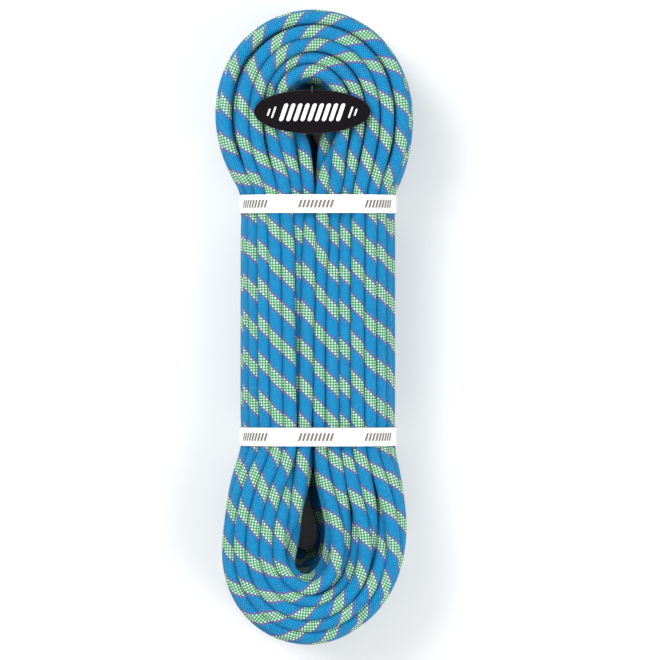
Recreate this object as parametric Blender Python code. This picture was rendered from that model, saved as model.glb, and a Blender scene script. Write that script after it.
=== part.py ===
"""Dynamic climbing rope, 9.5 mm, factory-wound into a banded hank with an oval hang label.

The hank lies on its back: +Y runs along it towards the labelled head, +X to the right as the
label is read, +Z up out of the front. The origin is on the floor under the hank's middle.
Lengths are in metres.
"""
import math

import bmesh
import bpy
import numpy as np
from mathutils import Matrix, Vector

MM = 0.001
GAP = 0.3 * MM                 # clearance between neighbouring solids

# Rope
ROPE_R = 4.75 * MM
SHEATH_WALL = 1.1 * MM

# Hank: straight waist between the two bands, round head and foot
WAIST_LEFT, WAIST_RIGHT = -52.5 * MM, 57.5 * MM
WAIST_FOOT, WAIST_HEAD = -86 * MM, 94 * MM
WAIST_Z0, WAIST_Z1 = 3 * MM, 101 * MM
WAIST_EDGE_R = 34 * MM
LOOP_Z0, LOOP_Z1 = 0.0, 104 * MM
LOOP_EDGE_R = 24 * MM
BLEND_LENGTH = 26 * MM         # over which the waist's section becomes the loops'
SECTION_STEPS = 14             # across the hank, on each face
STATION_STEP = 9 * MM

# Outer edge of the head (right to left) and of the foot (left to right), in mm
HEAD_EDGE = [(57.5, 94), (62, 102), (66, 115), (68.5, 130), (70, 148), (68.5, 165), (62.5, 187),
             (50, 204.5), (28, 220), (0, 225.5), (-27, 220), (-49, 205), (-62, 187), (-68, 167),
             (-70, 149), (-68, 132), (-63, 115), (-57.5, 102), (-52.5, 94)]
FOOT_EDGE = [(-52.5, -86), (-56, -98), (-59.5, -110), (-62.5, -130), (-65, -150), (-66.5, -168),
             (-63.5, -183), (-55, -198), (-42, -211), (-22, -222), (-2, -225.5), (15, -222),
             (32, -212), (47, -199), (56, -188), (62, -174), (65, -158), (65.5, -145),
             (64, -125), (61, -105), (57.5, -86)]

# Eyes: the openings left inside the head and the foot, in mm
HEAD_EYE = [(-4, 176), (7, 172.5), (15, 163), (17, 150), (13, 137), (6, 123), (-1, 111),
            (-7, 122), (-13, 136), (-19, 150), (-20, 163), (-14, 172)]
FOOT_EYE = [(-3, -108), (-8, -122), (-12, -136), (-17, -151), (-20, -164), (-16, -174),
            (-7, -179), (3, -176), (10, -167), (11, -154), (7, -139), (1.5, -122)]
# What is left of them at the back, where deeper strands close them up
HEAD_EYE_BACK = [(-3, 171), (1, 170.5), (4.5, 165), (9, 153), (11, 143), (9.5, 134), (7, 127),
                 (3.5, 134), (-1, 142), (-5, 151), (-6.5, 160), (-6, 168)]
FOOT_EYE_BACK = [(-5.5, -118), (-8, -126), (-11, -134), (-14, -143), (-16, -151), (-15, -160),
                 (-10, -165), (-4, -163), (-1, -157), (-1, -149), (-2.5, -139), (-4, -127)]
EYE_CLOSES_Z = (24 * MM, 74 * MM)
EYE_FLARE = 6 * MM             # rounding of an eye's rim, one strand's worth

# Printed paper bands
BAND_WIDTH = 13 * MM
BAND_THICKNESS = 0.25 * MM
UPPER_BAND_Y, LOWER_BAND_Y = 86.5 * MM, -77.5 * MM
BAND_OVERLAP = 24 * MM         # the strip's ends overlap under the hank
BAND_RAMP = 8 * MM
GLUE_THICKNESS = 0.3 * MM
GLUE_SIZE = (18 * MM, 10 * MM)

# Oval hang label on its elastic tie
LABEL_CENTRE = (-1.5 * MM, 151 * MM)
LABEL_HALF = (41 * MM, 15.5 * MM)
CARD_Z0, CARD_THICKNESS = 104.6 * MM, 0.8 * MM
FILM_THICKNESS = 0.3 * MM
LABEL_HOLE_R = 1.2 * MM
TIE_R = 0.45 * MM
TIE_BEND_R = 2.2 * MM          # the tie's bends, round the hinge line and round the toggle
HINGE_Z = 105.3 * MM
TOGGLE_Z = 7 * MM
TOGGLE_R = 1.35 * MM
TOGGLE_LENGTH = 46 * MM

# The two loose ends, leaving the hank low down on either side of the foot, in mm
LEFT_END_ROUTE = [(-34, -80, 22), (-40, -94, 15), (-45.5, -108, 8.5), (-50.5, -122, 5.9),
                  (-53.5, -136, 5.5), (-54, -150, 5.5)]
RIGHT_END_ROUTE = [(40, -72, 24), (45, -86, 16), (49, -100, 8.5), (51.5, -114, 5.9),
                   (52, -127, 5.5), (52, -140, 5.5)]
END_LENGTH = 34 * MM           # the straight, marked stretch at the tip
CORE_R = ROPE_R - SHEATH_WALL - GAP
SLEEVE_WALL = 0.3 * MM
SLEEVE_SPAN = (5 * MM, 29 * MM)
TIP_LENGTH = 3 * MM


# ---------------------------------------------------------------- shapes and meshes

def smooth_curve(points, steps, closed=False):
    """Centripetal Catmull-Rom curve through the points, with some steps to each span."""
    pts = [np.array(p, dtype=float) for p in points]
    if closed:
        pts = [pts[-1]] + pts + [pts[0], pts[1]]
    else:
        pts = [2 * pts[0] - pts[1]] + pts + [2 * pts[-1] - pts[-2]]
    out = []
    for p0, p1, p2, p3 in zip(pts, pts[1:], pts[2:], pts[3:]):
        knots = [0.0]
        for a, b in ((p0, p1), (p1, p2), (p2, p3)):
            knots.append(knots[-1] + math.sqrt(np.linalg.norm(b - a)))
        t0, t1, t2, t3 = knots
        for t in np.linspace(t1, t2, steps, endpoint=False):
            a1 = ((t1 - t) * p0 + (t - t0) * p1) / (t1 - t0)
            a2 = ((t2 - t) * p1 + (t - t1) * p2) / (t2 - t1)
            a3 = ((t3 - t) * p2 + (t - t2) * p3) / (t3 - t2)
            b1 = ((t2 - t) * a1 + (t - t0) * a2) / (t2 - t0)
            b2 = ((t3 - t) * a2 + (t - t1) * a3) / (t3 - t1)
            out.append(((t2 - t) * b1 + (t - t1) * b2) / (t2 - t1))
    if not closed:
        out.append(pts[-2])
    return np.array(out)


def smooth_step(t):
    t = min(max(t, 0.0), 1.0)
    return t * t * (3 - 2 * t)


def material(name, colour, roughness, alpha=1.0):
    mat = bpy.data.materials.new(name)
    mat.use_nodes = True
    shader = mat.node_tree.nodes["Principled BSDF"]
    shader.inputs["Base Color"].default_value = (*colour, 1.0)
    shader.inputs["Roughness"].default_value = roughness
    shader.inputs["Alpha"].default_value = alpha
    return mat


def empty(name, location):
    holder = bpy.data.objects.new(name, None)
    holder.location = location
    bpy.context.scene.collection.objects.link(holder)
    return holder


def finish(obj, mat, parent=None, smooth=None):
    """Link an object, give it its material, and hang it from its parent where it stands."""
    bpy.context.scene.collection.objects.link(obj)
    if mat:
        obj.data.materials.append(mat)
    if parent:
        obj.parent = parent
        obj.location = obj.location - parent.location
    if smooth:
        obj.data.shade_smooth()
        obj.data.set_sharp_from_angle(angle=math.radians(smooth))
    return obj


def mesh_object(name, rings, origin=(0, 0, 0), ring_closed=True, loop=False):
    """A closed skin over rings of points: capped at both ends, or joined up into a loop."""
    mesh = bpy.data.meshes.new(name)
    bm = bmesh.new()
    origin = Vector(origin)
    rows = [[bm.verts.new(Vector(p) - origin) for p in ring] for ring in rings]
    count = len(rows[0])
    pairs = list(zip(rows, rows[1:])) + ([(rows[-1], rows[0])] if loop else [])
    for a, b in pairs:
        for i in range(count if ring_closed else count - 1):
            j = (i + 1) % count
            bm.faces.new((a[i], a[j], b[j], b[i]))
    if not loop:
        bm.faces.new(rows[0])
        bm.faces.new(rows[-1])
    bmesh.ops.recalc_face_normals(bm, faces=bm.faces)
    bm.to_mesh(mesh)
    bm.free()
    obj = bpy.data.objects.new(name, mesh)
    obj.location = origin
    return obj


def sweep_rings(path, radii, sides):
    """Rings of points round a path, carried along it without twisting."""
    path = [Vector(p) for p in path]
    rings = []
    side = None
    for i, p in enumerate(path):
        ahead = (path[min(i + 1, len(path) - 1)] - path[max(i - 1, 0)]).normalized()
        if side is None:
            side = ahead.orthogonal().normalized()
        side = (side - ahead * side.dot(ahead)).normalized()
        up = ahead.cross(side)
        turns = [2 * math.pi * k / sides for k in range(sides)]
        rings.append([p + radii[i] * (math.cos(a) * side + math.sin(a) * up) for a in turns])
    return rings


def turned(name, profile, base, ahead, sides=24):
    """A solid turned round the line from base along ahead.

    The profile lists (distance along, radius). One that starts and ends on the line closes
    in a point there; any other is joined up end to start, which leaves the bore open.
    """
    mesh = bpy.data.meshes.new(name)
    bm = bmesh.new()
    bore = profile[0][1] > 0
    verts = [bm.verts.new((r, 0, z)) for z, r in profile]
    edges = [bm.edges.new(pair) for pair in zip(verts, verts[1:])]
    if bore:
        edges.append(bm.edges.new((verts[-1], verts[0])))
    bmesh.ops.spin(bm, geom=verts + edges, axis=(0, 0, 1), cent=(0, 0, 0),
                   angle=2 * math.pi, steps=sides)
    bmesh.ops.remove_doubles(bm, verts=bm.verts, dist=1e-6)
    bmesh.ops.recalc_face_normals(bm, faces=bm.faces)
    bm.to_mesh(mesh)
    bm.free()
    obj = bpy.data.objects.new(name, mesh)
    obj.location = base
    obj.rotation_mode = "QUATERNION"
    obj.rotation_quaternion = Vector((0, 0, 1)).rotation_difference(Vector(ahead))
    return obj


def cord_tube(name, points, radius, cyclic=False):
    curve = bpy.data.curves.new(name, "CURVE")
    curve.dimensions = "3D"
    curve.bevel_depth = radius
    curve.bevel_resolution = 2 if radius < 2 * MM else 4
    curve.use_fill_caps = not cyclic
    spline = curve.splines.new("POLY")
    spline.points.add(len(points) - 1)
    for point, p in zip(spline.points, points):
        point.co = (*p, 1.0)
    spline.use_cyclic_u = cyclic
    return bpy.data.objects.new(name, curve)


def cut(target, cutter):
    """Take the cutter out of the target."""
    cutter.hide_render = True
    cutter.display_type = "WIRE"
    boolean = target.modifiers.new("cut_" + cutter.name, "BOOLEAN")
    boolean.operation = "DIFFERENCE"
    boolean.solver = "EXACT"
    boolean.object = cutter


# ---------------------------------------------------------------- the hank

def hank_edge():
    """The hank's whole outer edge, as seen from the front."""
    head = smooth_curve(HEAD_EDGE, 12)
    foot = smooth_curve(FOOT_EDGE, 12)
    return np.vstack([head, foot, head[:1]]) * MM


def edge_at(edge, y):
    """Where a line across the hank at y meets its left and right edges."""
    a, b = edge[:-1], edge[1:]
    hit = (a[:, 1] - y) * (b[:, 1] - y) <= 0
    span = b[hit] - a[hit]
    level = np.abs(span[:, 1]) < 1e-12
    share = np.where(level, 0.0, (y - a[hit][:, 1]) / np.where(level, 1.0, span[:, 1]))
    xs = a[hit][:, 0] + share * span[:, 0]
    return xs.min(), xs.max()


def distance_in(edge, x, y):
    """How far inside the outer edge a point is."""
    a, b = edge[:-1], edge[1:]
    d = b - a
    length2 = np.maximum((d ** 2).sum(1), 1e-18)
    t = np.clip(((x - a[:, 0]) * d[:, 0] + (y - a[:, 1]) * d[:, 1]) / length2, 0, 1)
    return np.hypot(a[:, 0] + t * d[:, 0] - x, a[:, 1] + t * d[:, 1] - y).min()


def edge_drop(depth_in, radius):
    """How far a face has fallen away at some distance inside a rounded edge."""
    short = max(radius - depth_in, 0.0)
    return radius - math.sqrt(max(radius ** 2 - short ** 2, 0.0))


def hank_section(edge, y, looped):
    """One slice across the hank: 0 looped is the waist's section, 1 the head's and foot's."""
    left, right = edge_at(edge, y)
    radius = WAIST_EDGE_R + looped * (LOOP_EDGE_R - WAIST_EDGE_R)
    z0 = WAIST_Z0 + looped * (LOOP_Z0 - WAIST_Z0)
    z1 = WAIST_Z1 + looped * (LOOP_Z1 - WAIST_Z1)
    xs, drops = [], []
    for k in range(SECTION_STEPS + 1):
        x = left + (right - left) * (1 - math.cos(math.pi * k / SECTION_STEPS)) / 2
        across = min(x - left, right - x)
        inside = across + looped * (distance_in(edge, x, y) - across)
        xs.append(x)
        drops.append(edge_drop(inside, radius))
    front = [(x, y, z1 - drop) for x, drop in zip(xs, drops)]
    back = [(x, y, z0 + drop) for x, drop in zip(xs, drops)]
    middle = (z0 + z1) / 2
    return front + [(right, y, middle)] + back[::-1] + [(left, y, middle)]


def hank_stations():
    """Slices along the hank: close together at the round ends, none needed along the waist."""
    near_end = [0.4, 2, 4.5, 8, 12, 17, 22]
    head_end, foot_end = HEAD_EDGE[9][1] * MM, FOOT_EDGE[10][1] * MM
    stations = [(foot_end + d * MM, 1.0) for d in near_end]
    foot_blend, head_blend = WAIST_FOOT - BLEND_LENGTH, WAIST_HEAD + BLEND_LENGTH
    for y in np.arange(foot_end + near_end[-1] * MM + STATION_STEP, WAIST_FOOT, STATION_STEP):
        stations.append((y, smooth_step((WAIST_FOOT - y) / BLEND_LENGTH) if y > foot_blend else 1.0))
    stations += [(y, 0.0) for y in np.linspace(WAIST_FOOT, WAIST_HEAD, 5)]
    for y in np.arange(WAIST_HEAD + STATION_STEP, head_end - near_end[-1] * MM, STATION_STEP):
        stations.append((y, smooth_step((y - WAIST_HEAD) / BLEND_LENGTH) if y < head_blend else 1.0))
    return stations + [(head_end - d * MM, 1.0) for d in reversed(near_end)]


def eye_rim(points):
    """An eye's closed outline, and the way out of it at each point."""
    ring = smooth_curve(points, 4, closed=True) * MM
    ahead = np.roll(ring, -1, axis=0) - np.roll(ring, 1, axis=0)
    normal = np.stack([ahead[:, 1], -ahead[:, 0]], 1)
    normal /= np.linalg.norm(normal, axis=1)[:, None]
    if ((ring - ring.mean(0)) * normal).sum() < 0:
        normal = -normal
    return ring, normal


def eye_cutter(name, front_points, back_points):
    """A through plug in the shape of an eye, narrower at the back, flared at both rims."""
    front, back = eye_rim(front_points), eye_rim(back_points)
    rims = [-2.0, 0.0, 0.6, 1.6, 3.2, 6.0]
    flare = [(d * MM, edge_drop(max(d, 0) * MM, EYE_FLARE)) for d in rims]
    levels = [(z, out, back) for z, out in flare]
    levels += [(EYE_CLOSES_Z[0], 0.0, back), (EYE_CLOSES_Z[1], 0.0, front)]
    levels += [(LOOP_Z1 - z, out, front) for z, out in reversed(flare)]
    rings = [[(x, y, z) for x, y in ring + out * normal] for z, out, (ring, normal) in levels]
    return finish(mesh_object(name, rings), None)


def clearance_cutter(name, route, end_radius):
    """Room round a loose end: a rope's thickness, and wider along its marked stretch."""
    path, tip, ahead = end_points(route)
    stretch = [tip + ahead * s for s in (-2 * MM, 0.0, END_LENGTH + TIP_LENGTH + 2 * MM)]
    points = [Vector(p) for p in path[:-2]] + [tip - ahead * 4 * MM] + stretch
    radii = [ROPE_R + GAP] * (len(points) - 3) + [ROPE_R + 2 * GAP] + [end_radius] * 2
    start = points[0] - (points[1] - points[0]).normalized() * GAP
    rings = sweep_rings([start] + points, [ROPE_R + GAP] + radii, 20)
    return finish(mesh_object(name, rings), None)


def make_hank(mat):
    edge = hank_edge()
    rings = [hank_section(edge, y, looped) for y, looped in hank_stations()]
    hank = finish(mesh_object("rope_hank", rings), mat, smooth=35)
    cut(hank, eye_cutter("head_eye_cutter", HEAD_EYE, HEAD_EYE_BACK))
    cut(hank, eye_cutter("foot_eye_cutter", FOOT_EYE, FOOT_EYE_BACK))
    sleeve_room = ROPE_R + GAP + SLEEVE_WALL + GAP
    cut(hank, clearance_cutter("left_end_room", LEFT_END_ROUTE, sleeve_room))
    cut(hank, clearance_cutter("right_end_room", RIGHT_END_ROUTE, sleeve_room))
    half = Vector((TOGGLE_LENGTH / 2 + GAP, 0, 0))
    centre = Vector((LABEL_CENTRE[0], LABEL_CENTRE[1] + LABEL_HALF[1], TOGGLE_Z))
    slot = sweep_rings([centre - half, centre + half], [TOGGLE_R + GAP] * 2, 16)
    cut(hank, finish(mesh_object("toggle_room", slot), None))
    return hank


# ---------------------------------------------------------------- the rope's ends

def end_points(route):
    """The loose end's path, and the start and direction of its straight tip."""
    path = smooth_curve(np.array(route) * MM, 3)
    ahead = Vector(path[-1] - path[-2])
    ahead.z = 0
    return path, Vector(path[-1]), ahead.normalized()


def make_end(name, route, mats, parent):
    path, tip, ahead = end_points(route)
    tail = cord_tube(name + "_tail", [tuple(p) for p in path], ROPE_R)
    finish(tail, mats["sheath"], parent)
    start = tip + ahead * GAP
    bore = ROPE_R - SHEATH_WALL
    sheath = turned(name + "_sheath",
                    [(0, bore), (0, ROPE_R), (END_LENGTH, ROPE_R), (END_LENGTH, bore)],
                    start, ahead)
    core = turned(name + "_core", [(0, 0), (0, CORE_R), (END_LENGTH, CORE_R), (END_LENGTH, 0)],
                  start, ahead)
    r = ROPE_R - 0.1 * MM
    dome = [(0, 0), (0, r), (TIP_LENGTH * 0.45, r), (TIP_LENGTH * 0.8, r * 0.86),
            (TIP_LENGTH * 0.97, r * 0.5), (TIP_LENGTH, 0)]
    fused = turned(name + "_fused_tip", dome, start + ahead * (END_LENGTH + GAP), ahead)
    inner = ROPE_R + GAP
    outer = inner + SLEEVE_WALL
    first, last = SLEEVE_SPAN
    sleeve = turned(name + "_marker_sleeve",
                    [(first, inner), (first, outer), (last, outer), (last, inner)],
                    start, ahead, sides=32)
    finish(sheath, mats["sheath"], parent, smooth=40)
    finish(core, mats["core"], parent, smooth=40)
    finish(fused, mats["fused"], parent, smooth=40)
    finish(sleeve, mats["sleeve"], parent, smooth=40)


# ---------------------------------------------------------------- bands

def waist_path(offset, start_shift):
    """The way round the waist's section at some offset, from under the middle and back."""
    cx, cz = (WAIST_LEFT + WAIST_RIGHT) / 2, (WAIST_Z0 + WAIST_Z1) / 2
    flat_x = (WAIST_RIGHT - WAIST_LEFT) / 2 - WAIST_EDGE_R
    flat_z = (WAIST_Z1 - WAIST_Z0) / 2 - WAIST_EDGE_R
    points = [(cx + start_shift, WAIST_Z0, 0.0, -1.0)]
    for turn, (sx, sz) in enumerate(((1, -1), (1, 1), (-1, 1), (-1, -1))):
        for k in range(11):
            angle = math.radians(-90 + 90 * turn + 9 * k)
            nx, nz = math.cos(angle), math.sin(angle)
            points.append((cx + sx * flat_x + WAIST_EDGE_R * nx,
                           cz + sz * flat_z + WAIST_EDGE_R * nz, nx, nz))
    points.append((cx + start_shift, WAIST_Z0, 0.0, -1.0))
    return [(x + offset * nx, z + offset * nz, nx, nz) for x, z, nx, nz in points]


def make_band(name, y, mats):
    """A strip of paper wrapped once round, with its outer end lapped over its inner end."""
    holder = empty(name + "_carrier", ((WAIST_LEFT + WAIST_RIGHT) / 2, y, 0))
    lap = BAND_THICKNESS + GLUE_THICKNESS + 2 * GAP
    inner = waist_path(GAP, -BAND_OVERLAP / 2)
    path = [(x, z, nx, nz) for x, z, nx, nz in inner]
    x, z = path[-1][0], path[-1][1]
    path[-1] = (x - BAND_RAMP, z, 0.0, -1.0)
    path += [(x - BAND_RAMP / 2, z - lap / 2, 0.0, -1.0), (x, z - lap, 0.0, -1.0),
             (x + BAND_OVERLAP, z - lap, 0.0, -1.0)]
    half = BAND_WIDTH / 2
    rings = []
    for x, z, nx, nz in path:
        xo, zo = x + BAND_THICKNESS * nx, z + BAND_THICKNESS * nz
        rings.append([(x, y - half, z), (x, y + half, z), (xo, y + half, zo), (xo, y - half, zo)])
    strip = mesh_object(name, rings, origin=(holder.location.x, y, 0))
    finish(strip, mats["band"], holder, smooth=20)

    glue_x = (path[-1][0] + path[-2][0]) / 2
    glue_top = path[0][1] - BAND_THICKNESS - GAP
    half_x, half_y = GLUE_SIZE[0] / 2, GLUE_SIZE[1] / 2
    corners = [(-half_x, -half_y), (half_x, -half_y), (half_x, half_y), (-half_x, half_y)]
    levels = [[(glue_x + dx, y + dy, z) for dx, dy in corners]
              for z in (glue_top, glue_top - GLUE_THICKNESS)]
    glue = mesh_object(name + "_glue", levels, origin=(glue_x, y, glue_top))
    finish(glue, mats["glue"], holder)


# ---------------------------------------------------------------- label

def oval_plate(name, z0, thickness, inset, bevel):
    """An oval plate with a hole near its top edge for the tie."""
    steps = 72
    cx, cy = LABEL_CENTRE
    a, b = LABEL_HALF[0] - inset, LABEL_HALF[1] - inset
    hinge = (cx, cy + LABEL_HALF[1], HINGE_Z)
    angles = [2 * math.pi * k / steps for k in range(steps)]
    rims = [(z0, bevel), (z0 + bevel, 0.0), (z0 + thickness - bevel, 0.0), (z0 + thickness, bevel)]
    rings = [[(cx + (a - d) * math.cos(t), cy + (b - d) * math.sin(t), z) for t in angles]
             for z, d in rims]
    plate = mesh_object(name, rings, origin=hinge)
    reach = Vector((0, 0, 2 * MM))
    middle = Vector((cx, hinge[1] - TIE_BEND_R, z0 + thickness / 2))
    hole = sweep_rings([middle - reach, middle + reach], [LABEL_HOLE_R] * 2, 20)
    cut(plate, finish(mesh_object(name + "_hole", hole), None))
    return plate


def make_label(mats):
    cx, hinge_y = LABEL_CENTRE[0], LABEL_CENTRE[1] + LABEL_HALF[1]
    hinge = empty("label_hinge", (cx, hinge_y, HINGE_Z))
    card = oval_plate("label_card", CARD_Z0, CARD_THICKNESS, 0.0, 0.15 * MM)
    film = oval_plate("label_film", CARD_Z0 + CARD_THICKNESS + GAP, FILM_THICKNESS,
                      0.4 * MM, 0.05 * MM)
    finish(card, mats["card"], hinge, smooth=30)
    finish(film, mats["film"], hinge, smooth=30)


def make_tie(mats, parent):
    """An elastic loop: over the label's top edge, down through the eye and round the toggle."""
    cx, y = LABEL_CENTRE[0], LABEL_CENTRE[1] + LABEL_HALF[1]
    half_turn = [math.pi * k / 12 for k in range(13)]
    over = [(cx, y + TIE_BEND_R * math.cos(t), HINGE_Z + TIE_BEND_R * math.sin(t))
            for t in half_turn]
    under = [(cx, y - TIE_BEND_R * math.cos(t), TOGGLE_Z - TIE_BEND_R * math.sin(t))
             for t in half_turn]
    finish(cord_tube("label_tie", over + under, TIE_R, cyclic=True), mats["tie"], parent)
    half = TOGGLE_LENGTH / 2
    bar = [(-half, 0), (-half, TOGGLE_R * 0.7), (-half + 0.5 * MM, TOGGLE_R),
           (half - 0.5 * MM, TOGGLE_R), (half, TOGGLE_R * 0.7), (half, 0)]
    toggle = turned("tie_toggle", bar, (cx, y, TOGGLE_Z), (1, 0, 0), sides=16)
    finish(toggle, mats["toggle"], parent, smooth=40)


def main():
    for obj in list(bpy.data.objects):
        bpy.data.objects.remove(obj, do_unlink=True)
    mats = {
        "rope": material("rope_sheath", (0.030, 0.270, 0.560), 0.62),
        "sheath": material("rope_sheath_end", (0.030, 0.270, 0.560), 0.62),
        "core": material("rope_core", (0.820, 0.820, 0.780), 0.70),
        "fused": material("fused_nylon", (0.015, 0.080, 0.160), 0.30),
        "sleeve": material("marker_film", (0.860, 0.860, 0.840), 0.35),
        "band": material("band_paper", (0.880, 0.860, 0.840), 0.55),
        "glue": material("band_glue", (0.650, 0.600, 0.480), 0.40),
        "card": material("label_board", (0.012, 0.010, 0.013), 0.60),
        "film": material("label_print_film", (0.010, 0.008, 0.011), 0.35),
        "tie": material("tie_elastic", (0.012, 0.012, 0.014), 0.65),
        "toggle": material("toggle_plastic", (0.030, 0.030, 0.034), 0.40),
    }
    hank_origin = empty("hank_origin", (0, 0, 0))
    make_hank(mats["rope"])
    make_end("left_end", LEFT_END_ROUTE, mats, hank_origin)
    make_end("right_end", RIGHT_END_ROUTE, mats, hank_origin)
    make_band("upper_band", UPPER_BAND_Y, mats)
    make_band("lower_band", LOWER_BAND_Y, mats)
    make_label(mats)
    make_tie(mats, hank_origin)


main()
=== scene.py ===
"""Looks of a factory-wound climbing rope: 50 m of braided rope in a hank, with two printed bands,
an oval hang label on an elastic tie, and the rope's two marked ends.

The rope is wound turn by turn, and then settled by a small simulation in which every strand
keeps its thickness, its length and its stiffness inside the hank's outer shape. The winding
works in millimetres; everything that becomes an object is in metres.
"""
import math

import bmesh
import bpy
import numpy as np
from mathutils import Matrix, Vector


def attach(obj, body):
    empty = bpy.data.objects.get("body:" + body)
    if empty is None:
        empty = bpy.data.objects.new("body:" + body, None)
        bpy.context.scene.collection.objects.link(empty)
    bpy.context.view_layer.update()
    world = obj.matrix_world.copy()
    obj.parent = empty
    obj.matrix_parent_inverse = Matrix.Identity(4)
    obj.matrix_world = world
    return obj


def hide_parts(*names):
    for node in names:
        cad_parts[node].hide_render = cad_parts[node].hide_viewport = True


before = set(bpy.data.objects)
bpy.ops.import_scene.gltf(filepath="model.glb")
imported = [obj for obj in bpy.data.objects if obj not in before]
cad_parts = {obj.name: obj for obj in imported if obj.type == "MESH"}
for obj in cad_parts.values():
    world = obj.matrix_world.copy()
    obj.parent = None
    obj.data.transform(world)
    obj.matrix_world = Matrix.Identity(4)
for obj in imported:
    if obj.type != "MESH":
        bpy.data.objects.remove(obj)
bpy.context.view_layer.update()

MM = 0.001

# Rope
DIAMETER = 9.5
PRESSED = 9.2                  # how close two pressed strands lie, centre to centre
NODE_STEP = 5.5                # between the simulation's nodes
RING_STEP = 3.2                # between the mesh's rings
ROPE_SIDES = 18

# Hank, as the CAD solid has it
WAIST_Y = (-86.0, 94.0)
WAIST_Z, LOOP_Z = (3.0, 101.0), (0.0, 104.0)
WAIST_EDGE_R, LOOP_EDGE_R = 34.0, 24.0
BLEND_LENGTH = 26.0
HEAD_EDGE = [(57.5, 94), (62, 102), (66, 115), (68.5, 130), (70, 148), (68.5, 165), (62.5, 187),
             (50, 204.5), (28, 220), (0, 225.5), (-27, 220), (-49, 205), (-62, 187), (-68, 167),
             (-70, 149), (-68, 132), (-63, 115), (-57.5, 102), (-52.5, 94)]
FOOT_EDGE = [(-52.5, -86), (-56, -98), (-59.5, -110), (-62.5, -130), (-65, -150), (-66.5, -168),
             (-63.5, -183), (-55, -198), (-42, -211), (-22, -222), (-2, -225.5), (15, -222),
             (32, -212), (47, -199), (56, -188), (62, -174), (65, -158), (65.5, -145),
             (64, -125), (61, -105), (57.5, -86)]

# One turn, from the foot up the left leg and back: x, y of its innermost line at the hank's
# front, of its innermost line at the back, where the eyes close up, and of its outermost line
TURN = [
    (-4, -182, -7, -161, -2, -234), (-16, -178, -14, -159, -45, -217),
    (-22.5, -167, -18.5, -152, -61, -187), (-20.5, -151, -18, -142, -66, -163),
    (-14, -136, -13, -131, -63.5, -137), (-7, -121, -7, -119, -59.5, -111),
    (-3, -105, -3, -105, -54, -91), (-1, -60, -1, -60, -52.5, -60),
    (-1, 0, -1, 0, -52.5, 0), (-1, 60, -1, 60, -52.5, 60), (-2, 108, 4, 108, -54.5, 97),
    (-8, 124, 7, 124, -62, 113), (-14, 138, 1, 137, -67.5, 130), (-20, 155, -7, 146, -70, 150),
    (-17, 170, -9, 151, -67, 180), (-10, 175, -4, 153, -47, 214), (-2, 176, 3, 154, 0, 233),
    (8, 173, 10, 153, 49, 213), (15, 165, 15, 149, 65.5, 179), (17, 152, 16, 142, 70, 151),
    (13, 137, 13, 133, 68.5, 131), (6, 122, 8, 122, 65, 112), (0, 106, 3, 106, 59.5, 97),
    (-2, 60, -2, 60, 57.5, 60), (-2, 0, -2, 0, 57.5, 0), (-2, -60, -2, -60, 57.5, -60),
    (-1, -105, -4, -105, 58, -91), (4, -122, -8, -121, 61.5, -108),
    (9, -138, -2, -131, 64.5, -127), (13, -153, 3, -142, 65.5, -147),
    (12, -168, 4, -152, 62, -174), (5, -178, 0, -159, 43, -210),
]
EYE_CLOSES = (0.30, 0.80)                # between these depths
LAYER_TURNS = [9, 9, 10, 10, 10, 9]      # turns in each layer, innermost first
START_AT, FINISH_AT = 0.21, 0.79         # where on a turn the two ends leave the hank

# The rope's ends, as the CAD has them
LEFT_END_ROUTE = [(-34, -80, 22), (-40, -94, 15), (-45.5, -108, 8.5), (-50.5, -122, 5.9),
                  (-53.5, -136, 5.5), (-54, -150, 5.5)]
RIGHT_END_ROUTE = [(40, -72, 24), (45, -86, 16), (49, -100, 8.5), (51.5, -114, 5.9),
                   (52, -127, 5.5), (52, -140, 5.5)]
END_LENGTH = 34.0
END_FREE_Y = -98.0                       # below this an end keeps to its route
SLEEVE_SPAN = (5.0, 29.0)                # of the marker sleeve on that stretch

# Bands, label, tie and toggle, as the CAD has them
WAIST_X = (-52.5, 57.5)
BAND_WIDTH, BAND_THICKNESS = 13.0, 0.25
BAND_YS = {"upper_band": 86.5, "lower_band": -77.5}
BAND_OVERLAP, BAND_RAMP, GLUE_THICKNESS, GAP = 24.0, 8.0, 0.3, 0.3
SQUEEZE = 0.8                            # how much a band presses the strands in
SQUEEZE_REACH, SQUEEZE_FADE = 17.0, 7.0  # how far off it does, and over what length that fades
SLIDE_ROOM = 0.42                        # the same between the bands, where they slide
LABEL_CENTRE = (-1.5, 151.0)
FILM_TOP = 106.0
TIE_LOW, TIE_HIGH, TIE_GAP = (-1.5, 166.5, -5.0), (-1.5, 166.5, 112.0), 7.7
TOGGLE_LEFT, TOGGLE_RIGHT, TOGGLE_GAP = (-24.5, 166.5, 7.0), (21.5, 166.5, 7.0), 6.3

# Braid
YARNS = 14                               # each way round
PITCH = 26.6                             # of one yarn's turn round the rope
STRIPE_LEAN = 0.45                       # how the stripes step down from strand to strand
STRIPE_STRAY = 0.12                      # in turns, how far a strand's stripes stray from that
BAKE_STRIPS, STRIP_GAP = 40, 0.03        # of the rope's second UV map; the gap as a share of one
# The second blue is a painted highlight for the yarns' crowns; the third is painted shade for the
# creases between the yarns
BLUE, BLUE_PAINTED_HIGHLIGHT, SEAM_PAINTED_SHADE = (0.002, 0.190, 0.480), (0.005, 0.425, 0.820), (0.001, 0.030, 0.110)
GREEN_LANE, GREEN_DOT = (0.045, 0.380, 0.125), (0.340, 0.900, 0.330)
WHITE_DOT = (0.820, 0.990, 0.930)
PURPLE_LANE, PURPLE_DOT = (0.070, 0.160, 0.460), (0.340, 0.180, 0.500)

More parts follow.
